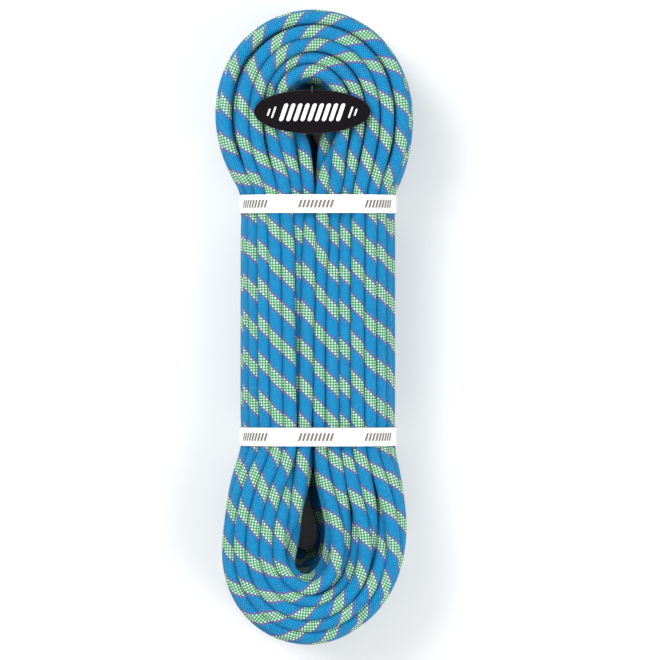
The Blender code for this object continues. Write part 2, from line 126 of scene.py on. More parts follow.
# Settling
SETTLE_ROUNDS, QUICK_ROUNDS = 400, 40
LOOSE_REACH = 130.0                      # how far along it from a tip an end may be held
HOLD, EYE_HOLD = 0.01, 0.04              # pull to the drawn line, and what an eye adds to it
SKIP_ALONG = 33.0                        # strands this near along the rope don't push each other
PAIR_REACH = 11.5
PUSH, STIFFNESS = 0.42, 0.22

# Printed marks, each a group of short slanted bars
MARK_PERIOD, MARK_LENGTH, MARK_HEIGHT, MARK_BARS = 47.0, 25.0, 5.5, 9
BAR_HALF, INK_THICKNESS, INK_CLEAR = 0.8, 0.05, 0.01
FRONT_MIDDLE_X, MIDDLE_FOUND = 1.0, 0.3  # where the band's middle mark sits, and how exactly
MOTIF_BARS, MOTIF_STEP, MOTIF_DROP, MOTIF_LEAN = 9, 5.0, 0.5, 0.34
MOTIF_BAR, MOTIF_SIDE_WIDTH = (3.0, 12.5), 1.3
MOTIF_SIDES = ((27.0, 8.0), (30.5, 5.0))  # of each side bar: distance from the middle, length
MOTIF_THICKNESS = 0.07

# Camera and light
LENS_MM, SENSOR_MM = 400, 36
CAMERA_AT = (0.011, -0.0023, 0.052 + 5.2)
LIGHT_TARGET = (0.0, 0.0, 0.05)
WORLD_STRENGTH, FLOOR_WHITE, FLOOR_DROP = 0.48, 0.93, 0.0004


# ---------------------------------------------------------------- numbers

def smooth_curve(points, steps, closed=False):
    """Centripetal Catmull-Rom curve through the points."""
    pts = [np.array(p, dtype=float) for p in points]
    if closed:
        pts = [pts[-1]] + pts + [pts[0], pts[1]]
    else:
        pts = [2 * pts[0] - pts[1]] + pts + [2 * pts[-1] - pts[-2]]
    out = []
    for p0, p1, p2, p3 in zip(pts, pts[1:], pts[2:], pts[3:]):
        knots = [0.0]
        for a, b in ((p0, p1), (p1, p2), (p2, p3)):
            knots.append(knots[-1] + math.sqrt(np.linalg.norm(b - a)))
        t0, t1, t2, t3 = knots
        for t in np.linspace(t1, t2, steps, endpoint=False):
            a1 = ((t1 - t) * p0 + (t - t0) * p1) / (t1 - t0)
            a2 = ((t2 - t) * p1 + (t - t1) * p2) / (t2 - t1)
            a3 = ((t3 - t) * p2 + (t - t2) * p3) / (t3 - t2)
            b1 = ((t2 - t) * a1 + (t - t0) * a2) / (t2 - t0)
            b2 = ((t3 - t) * a2 + (t - t1) * a3) / (t3 - t1)
            out.append(((t2 - t) * b1 + (t - t1) * b2) / (t2 - t1))
    if not closed:
        out.append(pts[-2])
    return np.array(out)


def smooth_step(t):
    t = np.clip(t, 0, 1)
    return t * t * (3 - 2 * t)


def steps_along(p):
    return np.linalg.norm(np.diff(p, axis=0), axis=1)


def resample(p, spacing):
    s = np.r_[0, np.cumsum(steps_along(p))]
    t = np.linspace(0, s[-1], int(round(s[-1] / spacing)) + 1)
    return np.stack([np.interp(t, s, p[:, c]) for c in range(3)], 1)


def soften(p, rounds, hold=1):
    """Ease a line's kinks, leaving a few points at each end alone."""
    for _ in range(rounds):
        mean = (p[:-2] + p[2:]) / 2
        inner = slice(hold, len(p) - hold)
        p[inner] += 0.5 * (mean[hold - 1:len(mean) - hold + 1] - p[inner])
    return p


# ---------------------------------------------------------------- the hank's outer shape

def looped(y):
    """0 in the waist, 1 in the head and the foot."""
    return smooth_step(np.maximum(y - WAIST_Y[1], WAIST_Y[0] - y) / BLEND_LENGTH)


def faces_at(y):
    """The heights of the back and front faces, and the radius of their edges."""
    loop = looped(y)
    z0 = WAIST_Z[0] + (LOOP_Z[0] - WAIST_Z[0]) * loop
    z1 = WAIST_Z[1] + (LOOP_Z[1] - WAIST_Z[1]) * loop
    return z0, z1, WAIST_EDGE_R + (LOOP_EDGE_R - WAIST_EDGE_R) * loop


class Outline:
    """How far a point lies inside the hank's edge, seen from the front, and which way is in."""

    STEP, PAD = 1.5, 14.0

    def __init__(self):
        edge = np.vstack([smooth_curve(HEAD_EDGE, 12), smooth_curve(FOOT_EDGE, 12)[1:]])
        self.low = edge.min(0) - self.PAD
        size = np.ceil((edge.max(0) + self.PAD - self.low) / self.STEP).astype(int) + 1
        xs, ys = (self.low[c] + self.STEP * np.arange(size[c]) for c in range(2))
        grid = np.stack(np.meshgrid(xs, ys, indexing="ij"), -1).reshape(-1, 2)
        best = np.full(len(grid), 1e9)
        inside = np.zeros(len(grid), bool)
        for a, b in zip(edge, np.roll(edge, -1, 0)):
            d = b - a
            t = np.clip((grid - a) @ d / max(d @ d, 1e-9), 0, 1)
            best = np.minimum(best, np.hypot(*(grid - a - t[:, None] * d).T))
            rise = d[1] if abs(d[1]) > 1e-12 else 1e-12
            crosses = a[0] + (grid[:, 1] - a[1]) * d[0] / rise
            inside ^= ((a[1] > grid[:, 1]) != (b[1] > grid[:, 1])) & (grid[:, 0] < crosses)
        self.depth = np.where(inside, best, -best).reshape(size)
        self.slopes = np.gradient(self.depth, self.STEP)

    def sample(self, x, y):
        u, v = (x - self.low[0]) / self.STEP, (y - self.low[1]) / self.STEP
        i = np.clip(u.astype(int), 0, self.depth.shape[0] - 2)
        j = np.clip(v.astype(int), 0, self.depth.shape[1] - 2)
        a, b = np.clip(u - i, 0, 1), np.clip(v - j, 0, 1)

        def mix(g):
            low = g[i, j] * (1 - a) + g[i + 1, j] * a
            return low * (1 - b) + (g[i, j + 1] * (1 - a) + g[i + 1, j + 1] * a) * b

        way = np.stack([mix(self.slopes[0]), mix(self.slopes[1])], 1)
        return mix(self.depth), way / np.maximum(np.linalg.norm(way, axis=1), 1e-6)[:, None]


def keep_inside(p, outline, r, loose):
    """Move nodes back into the hank's rounded shape, inset by r; loose ones may be outside."""
    z0, z1, edge_r = faces_at(p[:, 1])
    off_band = np.min([np.abs(p[:, 1] - y) for y in BAND_YS.values()], axis=0)
    off_waist = np.maximum(p[:, 1] - max(BAND_YS.values()), min(BAND_YS.values()) - p[:, 1])
    pressed, slid_over = (smooth_step((SQUEEZE_REACH - off) / SQUEEZE_FADE)
                          for off in (off_band, off_waist))
    r = r + np.maximum(SQUEEZE * pressed, SLIDE_ROOM * slid_over)
    t, way = outline.sample(p[:, 0], p[:, 1])
    up = np.where(p[:, 2] > (z0 + z1) / 2, 1.0, -1.0)
    depth = (np.where(up > 0, z1, z0) - p[:, 2]) * up
    u, w = edge_r - t, edge_r - depth
    corner = (u > 0) & (w > 0)
    reach = np.hypot(u, w)
    back = np.where(corner & (reach > edge_r - r), 1 - (edge_r - r) / np.maximum(reach, 1e-6), 0)
    side = np.where(~corner & (t < r), r - t, 0) + u * back
    drop = np.where(~corner & (depth < r), r - depth, 0) + w * back
    move = np.column_stack([way * side[:, None], -up * drop])
    return p + move * (~loose)[:, None]


# ---------------------------------------------------------------- winding

def end_route(route):
    """A loose end's path from inside the hank to its tip."""
    path = smooth_curve(route, 6)
    ahead = path[-1] - path[-2]
    ahead[2] = 0
    tip = path[-1] + ahead / np.linalg.norm(ahead) * (END_LENGTH + 0.3)
    return np.vstack([path, np.linspace(path[-1], tip, 8)[1:]])


def turn_slots():
    """(layer, depth from 0 at the front to 1 at the back) of every turn, in winding order."""
    slots = []
    for layer, count in enumerate(LAYER_TURNS):
        rows = [(j + 0.5) / count for j in range(count)]
        slots += [(layer, v) for v in (rows[::-1] if layer % 2 == 0 else rows)]
    return slots


def wound_path():
    """The whole rope as wound, before it settles, and which of its points are the loose ends'."""
    turn = np.array(TURN, float)
    inner, deep, outer = (smooth_curve(turn[:, c:c + 2], 8, closed=True) for c in (0, 2, 4))
    slots = np.array(turn_slots(), float)
    turns = len(slots)
    rng = np.random.default_rng(3)
    tau = np.arange(START_AT, turns - 1 + FINISH_AT, 1 / 160)
    k = np.clip(tau.astype(int), 0, turns - 1)
    f = tau - k
    change = smooth_step((f - 0.80) / 0.20)
    after = np.clip(k + 1, 0, turns - 1)
    layer = slots[k, 0] * (1 - change) + slots[after, 0] * change
    depth = slots[k, 1] * (1 - change) + slots[after, 1] * change
    knots = np.arange(turns * 5 + 2)
    layer = layer + 0.10 * np.interp(tau * 5, knots, rng.normal(0, 1, len(knots)))
    depth = depth + 0.016 * np.interp(tau * 5, knots, rng.normal(0, 1, len(knots)))
    # the start crosses inward between two rows of the left leg
    entry = smooth_step((tau - START_AT) / 0.24)
    layer = 3.3 * (1 - entry) + layer * entry
    depth = 0.832 * (1 - entry) + depth * entry
    share = (layer + 0.5) / len(LAYER_TURNS)
    # at the head five strands lie side by side in front; the sixth dives, as do two on its left
    front = smooth_step((0.16 - depth) / 0.06)
    arch = smooth_step((f - 0.30) / 0.08) * smooth_step((0.70 - f) / 0.08) * front
    wide = (layer - 0.5) / (len(LAYER_TURNS) - 1)
    share = np.where(layer > 0.5, share + (wide - share) * arch, share)
    left = np.exp(-((f - 0.42) / 0.045) ** 2) * front
    depth = depth + 0.11 * np.where(layer < 0.5, arch, np.where(layer < 2.5, left, 0))
    share = share - 0.10 * np.where((layer > 2.5) & (layer < 4.5), left, 0)
    # the same at the foot, where the outer strands also tuck under each other
    bottom = smooth_step((0.14 - np.minimum(f, 1 - f)) / 0.07) * front
    share = np.where(layer > 0.5, share + 0.8 * (wide - share) * bottom, share)
    low_left, low_right = (np.exp(-((f - at) / 0.03) ** 2) * front for at in (0.06, 0.935))
    fourth, fifth = (layer > 2.5) & (layer < 4.5), layer > 4.5
    depth = depth + 0.11 * np.where(layer < 0.5, bottom, 0)
    depth = depth + 0.10 * np.where(fourth, low_left, 0) + 0.09 * np.where(fifth, low_right, 0)
    share = share - 0.07 * np.where(fifth, low_left, 0) + 0.08 * np.where(fourth, low_right, 0)
    share = share[:, None]
    ring = f * len(inner)
    i = ring.astype(int) % len(inner)
    a = (ring - np.floor(ring))[:, None]
    after = (i + 1) % len(inner)
    low, high = EYE_CLOSES
    closed = smooth_step((depth - low) / (high - low))[:, None]
    xy = (inner[i] * (1 - a) + inner[after] * a) * (1 - closed)
    xy += (deep[i] * (1 - a) + deep[after] * a) * closed
    xy = xy * (1 - share) + (outer[i] * (1 - a) + outer[after] * a) * share
    z0, z1, _ = faces_at(xy[:, 1])
    r = DIAMETER / 2
    z = z1 - r - np.clip(depth, 0, 1) * (z1 - z0 - 2 * r)
    wound = np.column_stack([xy, z])
    start = end_route(LEFT_END_ROUTE)[::-1]
    finish = end_route(RIGHT_END_ROUTE)
    finish = finish[finish[:, 1] < END_FREE_Y]
    path = resample(soften(np.vstack([start, wound, finish]), 30, hold=12), NODE_STEP)
    low = (path[:, 1] < END_FREE_Y) & (path[:, 2] < 14)
    count = int(LOOSE_REACH / NODE_STEP)
    loose = np.zeros(len(path), bool)
    loose[:count] = low[:count]
    loose[-count:] = low[-count:]
    return path, loose


# ---------------------------------------------------------------- settling

def close_pairs(p, reach, skip):
    """Pairs of nodes nearer than reach, but further apart than skip along the rope."""
    cell = ((p - p.min(0) + reach) / reach).astype(int)
    dims = cell.max(0) + 2
    key = (cell[:, 0] * dims[1] + cell[:, 1]) * dims[2] + cell[:, 2]
    order = np.argsort(key, kind="stable")
    start = np.searchsorted(key[order], np.arange(dims.prod() + 1))
    held = np.diff(start)
    offsets = [(a, b, c) for a in (0, 1) for b in (-1, 0, 1) for c in (-1, 0, 1)]
    found = []
    for offset in offsets:
        if offset < (0, 0, 0):           # the same pairs come from the opposite offset
            continue
        other = key + (offset[0] * dims[1] + offset[1]) * dims[2] + offset[2]
        for m in range(held.max()):
            i = np.flatnonzero(held[other] > m)
            j = order[start[other[i]] + m]
            if offset == (0, 0, 0):
                i, j = i[i < j], j[i < j]
            keep = (np.abs(i - j) > skip) & (((p[i] - p[j]) ** 2).sum(1) < reach * reach)
            found.append((i[keep], j[keep]))
    return (np.concatenate(side) for side in zip(*found))


def tangents(p):
    t = np.empty_like(p)
    t[1:-1] = p[2:] - p[:-2]
    t[0], t[-1] = p[1] - p[0], p[-1] - p[-2]
    return t / np.linalg.norm(t, axis=1)[:, None]


def push_apart(p, pairs, give, gap):
    """Separate strands that lie closer than gap, measured square to them."""
    i, j = pairs
    t = tangents(p)
    way = t[i] + np.sign((t[i] * t[j]).sum(1))[:, None] * t[j]
    way /= np.maximum(np.linalg.norm(way, axis=1), 1e-6)[:, None]
    v = p[i] - p[j]
    along = (v * way).sum(1)
    across = v - along[:, None] * way
    dist = np.linalg.norm(across, axis=1)
    near = (np.abs(along) < NODE_STEP * 0.75) & (dist < gap) & (give[i] + give[j] > 0)
    i, j = i[near], j[near]
    push = across[near] * ((gap - dist[near]) / np.maximum(dist[near], 1e-3))[:, None]
    total = (give[i] + give[j])[:, None]
    moved = np.zeros_like(p)
    for c in range(3):
        moved[:, c] += np.bincount(i, (push * give[i][:, None] / total)[:, c], len(p))
        moved[:, c] -= np.bincount(j, (push * give[j][:, None] / total)[:, c], len(p))
    return p + PUSH * moved


def keep_off(p, a, b, gap, give):
    """Keep nodes off the straight piece from a to b."""
    a, b = np.array(a, float), np.array(b, float)
    t = np.clip((p - a) @ (b - a) / ((b - a) @ (b - a)), 0, 1)
    v = p - a - t[:, None] * (b - a)
    dist = np.linalg.norm(v, axis=1)
    short = np.maximum(gap - dist, 0) / np.maximum(dist, 1e-3)
    return p + v * (short * give)[:, None]


def settle(p, loose, rounds):
    outline = Outline()
    give = np.where(loose, 0.0, 1.0)
    drawn = p.copy()
    # strands hold to their drawn line a little, and more where they close up an eye
    inside = smooth_step((outline.sample(p[:, 0], p[:, 1])[0] - 34) / 10)
    looping = smooth_step((np.abs(p[:, 1]) - 96) / 10) * smooth_step((78 - p[:, 2]) / 14)
    hold = give * (HOLD + EYE_HOLD * inside * looping)
    rest = steps_along(p).mean()
    skip = int(SKIP_ALONG / NODE_STEP)
    for step in range(rounds):
        gap = PRESSED * min(1.0, 0.72 + 0.28 * step / (rounds * 0.45))
        if step % 8 == 0:
            pairs = tuple(close_pairs(p, PAIR_REACH, skip))
        p = push_apart(p, pairs, give, gap)
        p = keep_off(p, TIE_LOW, TIE_HIGH, TIE_GAP, give)
        p = keep_off(p, TOGGLE_LEFT, TOGGLE_RIGHT, TOGGLE_GAP, give)
        for _ in range(2):
            bend = np.zeros_like(p)
            bend[1:-1] = (p[:-2] + p[2:]) / 2 - p[1:-1]
            change = np.zeros_like(p)
            change[3:-3] = (bend[2:-4] + bend[4:-2]) / 2 - bend[3:-3]
            p = p - STIFFNESS * change * give[:, None]
        for first in (0, 1):
            a = np.arange(first, len(p) - 1, 2)
            b = a + 1
            v = p[b] - p[a]
            length = np.linalg.norm(v, axis=1)
            total = np.maximum(give[a] + give[b], 1e-6)
            pull = ((length - rest) / length / total)[:, None] * v
            p[a] += pull * give[a][:, None]
            p[b] -= pull * give[b][:, None]
        p[:, :2] += hold[:, None] * (drawn - p)[:, :2]
        p = keep_inside(p, outline, PRESSED / 2, loose)
    return p


# ---------------------------------------------------------------- materials

class Nodes:
    """Small helper that builds a material's node tree."""

    def __init__(self, name):
        self.mat = bpy.data.materials.new(name)
        self.mat.use_nodes = True
        self.tree = self.mat.node_tree
        self.shader = self.tree.nodes["Principled BSDF"]

    def put(self, socket, value):
        if isinstance(value, bpy.types.NodeSocket):
            self.tree.links.new(value, socket)
        elif isinstance(value, tuple) and len(value) == 3 and socket.type == "RGBA":
            socket.default_value = (*value, 1.0)
        else:
            socket.default_value = value

    def node(self, kind, inputs=(), **settings):
        made = self.tree.nodes.new("ShaderNode" + kind)
        for key, value in settings.items():
            setattr(made, key, value)
        for key, value in dict(inputs).items():
            self.put(made.inputs[key], value)
        return made

    def math(self, operation, a, b=0.0, c=None):
        inputs = {0: a, 1: b}
        if c is not None:
            inputs[2] = c
        return self.node("Math", inputs, operation=operation).outputs[0]

    def mix(self, share, a, b):
        made = self.node("Mix", data_type="RGBA")
        self.put(made.inputs[0], share)
        self.put(made.inputs[6], a)
        self.put(made.inputs[7], b)
        return made.outputs[2]

    def noise(self, scale, detail=3.0, vector=None, rough=0.5):
        inputs = {"Scale": scale, "Detail": detail, "Roughness": rough}
        if vector is not None:
            inputs["Vector"] = vector
        return self.node("TexNoise", inputs).outputs[0]

    def place(self):
        return self.node("TexCoord").outputs["Object"]

    def set(self, **values):
        for key, value in values.items():
            self.put(self.shader.inputs[key.replace("_", " ")], value)

    def bump(self, height, distance, strength=1.0):
        made = self.node("Bump", {"Height": height, "Distance": distance, "Strength": strength})
        self.put(self.shader.inputs["Normal"], made.outputs[0])


def braid_material():
    """Plain braid: yarns run both ways round the rope and pass over and under each other."""
    n = Nodes("rope_braid")
    uv = n.node("UVMap", uv_map="Braid").outputs[0]
    split = n.node("SeparateXYZ", {0: uv})
    turns = n.math("DIVIDE", split.outputs[0], PITCH * MM)
    round_ = split.outputs[1]
    s_yarn = n.math("MULTIPLY", n.math("ADD", round_, turns), float(YARNS))
    z_yarn = n.math("MULTIPLY", n.math("SUBTRACT", round_, turns), float(YARNS))
    i, j = n.math("FLOOR", s_yarn), n.math("FLOOR", z_yarn)
    fa, fb = n.math("SUBTRACT", s_yarn, i), n.math("SUBTRACT", z_yarn, j)
    odd = n.math("FLOORED_MODULO", n.math("ADD", i, j), 2.0)
    lane = n.math("FLOORED_MODULO", i, float(YARNS))

    def hump(f, low):
        away = n.math("MULTIPLY_ADD", f, 2.0, -1.0)
        return n.math("MULTIPLY_ADD", n.math("MULTIPLY", away, away), -low, 1.0)

    s_top = n.math("MULTIPLY", hump(fa, 0.95), hump(fb, 0.55))
    z_top = n.math("MULTIPLY", hump(fb, 0.95), hump(fa, 0.55))
    height = n.node("Mix", {0: odd, 2: s_top, 3: z_top}).outputs[0]

    def between(low, high):
        return n.math("MULTIPLY", n.math("GREATER_THAN", lane, low - 0.5),
                      n.math("LESS_THAN", lane, high + 0.5))

    striped, edge_low, edge_high = between(0, 6), between(0, 0), between(6, 6)
    edge = n.math("ADD", edge_low, edge_high)
    white = n.math("ADD", between(1, 1), between(5, 5))
    cell = n.node("CombineXYZ", {0: i, 1: j}).outputs[0]
    chance = n.node("TexWhiteNoise", {0: cell}, noise_dimensions="3D").outputs[0]
    # painted highlight: the blue is lighter towards each yarn's crown, and its tone also varies at
    # random from cell to cell
    blue = n.mix(n.math("MULTIPLY_ADD", height, 0.55, n.math("MULTIPLY", chance, 0.35)),
                 BLUE, BLUE_PAINTED_HIGHLIGHT)
    paleness = n.math("MAXIMUM", white, n.math("MULTIPLY_ADD", chance, 0.65, 0.30))
    dot = n.mix(paleness, GREEN_DOT, WHITE_DOT)
    over = n.mix(edge, dot, PURPLE_DOT)
    under = n.mix(edge, GREEN_LANE, PURPLE_LANE)
    stripe = n.mix(odd, over, under)
    colour = n.mix(striped, blue, stripe)
    # painted shade: the colour darkens towards the creases between the yarns
    seam_shade = n.math("POWER", n.math("SUBTRACT", 1.0, height), 2.0)
    colour = n.mix(n.math("MULTIPLY", seam_shade, 0.80), colour, SEAM_PAINTED_SHADE)
    fibre_at = n.node("Mapping", {"Vector": uv, "Scale": (900.0, 40.0, 1.0)}).outputs[0]
    fibre = n.noise(1.0, 2.0, fibre_at)
    colour = n.mix(n.math("MULTIPLY", fibre, 0.02), colour, (0.75, 0.9, 1.0))
    n.set(Base_Color=colour, Roughness=n.math("MULTIPLY_ADD", fibre, 0.25, 0.48),
          Specular_IOR_Level=0.12, Sheen_Weight=0.04, Sheen_Roughness=0.45)
    n.bump(n.math("MULTIPLY_ADD", fibre, 0.15, height), 0.00060, 1.0)
    return n.mat


# ---------------------------------------------------------------- meshes

def link(obj, body, mat, smooth=None):
    bpy.context.scene.collection.objects.link(obj)
    obj.data.materials.append(mat)
    if smooth:
        obj.data.shade_smooth()
        obj.data.set_sharp_from_angle(angle=math.radians(smooth))
    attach(obj, body)
    return obj


def rope_frames(p):
    """At each point: the way to the front, square to the rope, and the way across."""
    t = tangents(p)
    up = np.array([0.0, 0.0, 1.0]) - t * t[:, 2:3]
    up /= np.linalg.norm(up, axis=1)[:, None]
    return up, np.cross(t, up)


def stripe_twist(p, s):
    """Turns of twist along the rope that line neighbouring strands' stripes up in the waist."""
    at = np.flatnonzero(p[:-1, 1] * p[1:, 1] < 0)
    way = np.sign(tangents(p)[at, 1])
    turn = (way * (p[at, 1] + STRIPE_LEAN * p[at, 0]) - s[at]) / PITCH
    turn = np.unwrap(turn % 1.0, period=1.0)
    turn += np.random.default_rng(8).normal(0, STRIPE_STRAY, len(turn))
    return np.interp(s, s[at], turn)


def rope_mesh(p):
    """The rope's skin, its rings' coordinates along and round it in a UV map."""
    up, side = rope_frames(p)
    s = np.r_[0, np.cumsum(steps_along(p))]
    twist = stripe_twist(p, s)
    n, k = len(p), ROPE_SIDES
    angle = 2 * math.pi * np.arange(k) / k
    r = DIAMETER / 2
    ring = up[:, None] * np.cos(angle)[None, :, None] + side[:, None] * np.sin(angle)[None, :, None]
    verts = (p[:, None] + r * ring) * MM
    a = np.arange(n - 1)[:, None] * k
    here = np.arange(k)[None, :]
    following = (here + 1) % k
    quads = np.stack([a + here, a + following, a + k + following, a + k + here], -1)
    mesh = bpy.data.meshes.new("rope")
    faces = quads.reshape(-1, 4)
    mesh.vertices.add(n * k)
    mesh.vertices.foreach_set("co", verts.reshape(-1))
    caps = 2
    mesh.loops.add(faces.size + caps * k)
    first, last = np.arange(k)[::-1], (n - 1) * k + np.arange(k)
    mesh.loops.foreach_set("vertex_index", np.concatenate([faces.reshape(-1), first, last]))
    mesh.polygons.add(len(faces) + caps)
    starts = np.r_[np.arange(len(faces)) * 4, faces.size, faces.size + k]
    mesh.polygons.foreach_set("loop_start", starts)
    mesh.update(calc_edges=True)
    along = s * MM
    u = np.stack([along[:-1], along[:-1], along[1:], along[1:]], 1)[:, None, :]
    u = np.broadcast_to(u, (n - 1, k, 4))
    turn0, turn1 = twist[:-1, None], twist[1:, None]
    low, high = here / k, (here + 1) / k
    v = np.stack([low + turn0, high + turn0, high + turn1, low + turn1], -1)
    uv = np.stack([u, v], -1).reshape(-1, 2)
    ends = np.zeros((caps * k, 2))
    layer = mesh.uv_layers.new(name="Braid")
    layer.data.foreach_set("uv", np.vstack([uv, ends]).reshape(-1))
    # The same skin cut into strips side by side, with no overlap, for a baked colour map.
    ring_no = np.arange(n - 1)
    per_strip = -(-(n - 1) // BAKE_STRIPS)
    column, row = (ring_no // per_strip)[:, None], (ring_no % per_strip)[:, None]
    across0 = (column + STRIP_GAP + (1 - 2 * STRIP_GAP) * low) / BAKE_STRIPS
    across1 = (column + STRIP_GAP + (1 - 2 * STRIP_GAP) * high) / BAKE_STRIPS
    down0 = np.broadcast_to(row / (per_strip + 1), across0.shape)
    down1 = np.broadcast_to((row + 1) / (per_strip + 1), across0.shape)
    flat = np.stack([np.stack([across0, across1, across1, across0], -1),
                     np.stack([down0, down0, down1, down1], -1)], -1).reshape(-1, 2)
    tiny = 1e-4 * np.stack([np.cos(angle), np.sin(angle)], -1) + 0.9995
    bake = mesh.uv_layers.new(name="OFBake")
    bake.data.foreach_set("uv", np.vstack([flat, tiny, tiny]).reshape(-1))
    mesh.uv_layers.active = layer
    mesh.shade_smooth()
    mesh.validate()
    return mesh


def tip_frame(p, at_end):
    """Where the rope's straight tip ends, and which way it points."""
    last, before = (p[-1], p[-4]) if at_end else (p[0], p[3])
    ahead = last - before
    return last, ahead / np.linalg.norm(ahead)


def turned(name, profile, base, ahead, sides=32, wobble=0.0, seed=0):
    """A body turned round the line from base along ahead; the profile lists (along, radius)."""
    rng = np.random.default_rng(seed)
    bm = bmesh.new()
    rows = []
    waves = rng.normal(0, 1, (5, 2))
    for z, r in profile:
        row = []
        for k in range(sides):
            angle = 2 * math.pi * k / sides
            lump = sum(a * math.cos(m * angle) + b * math.sin(m * angle + z)
                       for m, (a, b) in enumerate(waves, 1)) * wobble
            radius = r * (1 + lump)
            row.append(bm.verts.new((radius * math.cos(angle) * MM, radius * math.sin(angle) * MM,
                                     z * MM)))
        rows.append(row)
    for low, high in zip(rows, rows[1:]):
        for k in range(sides):
            m = (k + 1) % sides
            bm.faces.new((low[k], low[m], high[m], high[k]))
    bm.faces.new(rows[0][::-1])
    bm.faces.new(rows[-1])
    mesh = bpy.data.meshes.new(name)
    bm.to_mesh(mesh)
    bm.free()
    obj = bpy.data.objects.new(name, mesh)
    obj.rotation_mode = "QUATERNION"
    obj.rotation_quaternion = Vector((0, 0, 1)).rotation_difference(Vector(ahead))
    obj.location = Vector(base) * MM
    return obj


def ring_sleeve(name, base, ahead):
    """A thin printed film shrunk round the rope, rolled in a little at both ends."""
    first, last = SLEEVE_SPAN
    length = last - first
    inner, outer = DIAMETER / 2 + 0.05, DIAMETER / 2 + 0.55
    profile = [(0.0, inner), (0.1, outer - 0.12), (0.6, outer)]
    profile += [(x, outer + 0.05 * math.sin(x * 1.7)) for x in np.arange(1.2, length - 1, 1.0)]
    profile += [(length - 0.6, outer), (length - 0.1, outer - 0.12), (length, inner)]
    start = np.array(base) + np.array(ahead) * (first - END_LENGTH)
    return turned(name, profile, start, ahead, sides=48)


def band_line(offset):
    """The band's way round the waist, from its inner end under the hank to its lapped outer end."""
    cx, cz = sum(WAIST_X) / 2, sum(WAIST_Z) / 2
    flat_x = (WAIST_X[1] - WAIST_X[0]) / 2 - WAIST_EDGE_R
    flat_z = (WAIST_Z[1] - WAIST_Z[0]) / 2 - WAIST_EDGE_R
    start = cx - BAND_OVERLAP / 2
    low = WAIST_Z[0] - offset
    line = [(start, low, 0.0, -1.0)]
    for turn, (sx, sz) in enumerate(((1, -1), (1, 1), (-1, 1), (-1, -1))):
        for k in range(19):
            angle = math.radians(-90 + 90 * turn + 5 * k)
            nx, nz = math.cos(angle), math.sin(angle)
            r = WAIST_EDGE_R + offset
            line.append((cx + sx * flat_x + r * nx, cz + sz * flat_z + r * nz, nx, nz))
    lap = BAND_THICKNESS + GLUE_THICKNESS + 2 * GAP
    line.append((start - BAND_RAMP, low, 0.0, -1.0))
    line.append((start - BAND_RAMP / 2, low - lap / 2, 0.0, -1.0))
    line.append((start, low - lap, 0.0, -1.0))
    line.append((start + BAND_OVERLAP, low - lap, 0.0, -1.0))
    return np.array(line)


def along_line(line, s):
    """Points and outward directions at the distances s along a band's line."""
    d = np.r_[0, np.cumsum(np.hypot(*np.diff(line[:, :2], axis=0).T))]
    return np.stack([np.interp(s, d, line[:, c]) for c in range(4)], 1), d[-1]


def strip_mesh(name, line, y, s_range, half, thickness, lift=0.0, step=1.0, rows=7, slant=0.0):
    """A thin strip that follows a band's line between two distances along it."""
    s0, s1 = s_range
    s = np.linspace(s0, s1, max(3, int((s1 - s0) / step) + 1))
    at, _ = along_line(line, s)
    bm = bmesh.new()
    grids = []
    for out in (lift, lift + thickness):
        grid = []
        for x, z, nx, nz in at:
            row = []
            for v in np.linspace(-1, 1, rows):
                px = x + out * nx + slant * v * nz
                pz = z + out * nz - slant * v * nx
                row.append(bm.verts.new((px * MM, (y + v * half) * MM, pz * MM)))
            grid.append(row)
        grids.append(grid)
    inner, outer = grids
    n, m = len(s), rows
    uv = bm.loops.layers.uv.new("Strip")

    def face(corners, marks):
        made = bm.faces.new(corners)
        for loop, mark in zip(made.loops, marks):
            loop[uv].uv = mark

    for a in range(n - 1):
        u0, u1 = s[a] * MM, s[a + 1] * MM
        for b in range(m - 1):
            v0, v1 = ((2 * c / (m - 1) - 1) * half * MM for c in (b, b + 1))
            face((outer[a][b], outer[a][b + 1], outer[a + 1][b + 1], outer[a + 1][b]),
                 ((u0, v0), (u0, v1), (u1, v1), (u1, v0)))
            face((inner[a][b], inner[a + 1][b], inner[a + 1][b + 1], inner[a][b + 1]),
                 ((u0, v0), (u1, v0), (u1, v1), (u0, v1)))
        for b in (0, m - 1):
            v = (1 if b else -1) * half * MM
            quad = (inner[a][b], outer[a][b], outer[a + 1][b], inner[a + 1][b])
            marks = ((u0, v), (u0, v), (u1, v), (u1, v))
            face(quad if b == 0 else quad[::-1], marks)
    for a in (0, n - 1):
        for b in range(m - 1):
            quad = (inner[a][b], inner[a][b + 1], outer[a][b + 1], outer[a][b])
            face(quad if a == 0 else quad[::-1], ((s[a] * MM, 0),) * 4)
    bm.normal_update()
    mesh = bpy.data.meshes.new(name)
    bm.to_mesh(mesh)
    bm.free()
    return mesh


def plate(bm, corners, z0, z1):
    """A flat printed patch with a closed body."""
    low = [bm.verts.new((x * MM, y * MM, z0 * MM)) for x, y in corners]
    high = [bm.verts.new((x * MM, y * MM, z1 * MM)) for x, y in corners]
    bm.faces.new(high)
    bm.faces.new(low[::-1])
    for k in range(len(corners)):
        m = (k + 1) % len(corners)
        bm.faces.new((low[k], low[m], high[m], high[k]))


def slanted_bar(cx, cy, width, height, lean):
    """The outline of a leaning bar with rounded ends."""
    corners = []
    for sign in (1, -1):
        for k in range(9):
            angle = math.radians(180 * k / 8)
            x, y = width / 2 * math.cos(angle), (height - width) / 2 + width / 2 * math.sin(angle)
            x, y = sign * x, sign * y
            corners.append((cx + x + lean * y, cy + y))
    return corners


# ---------------------------------------------------------------- materials of the small parts

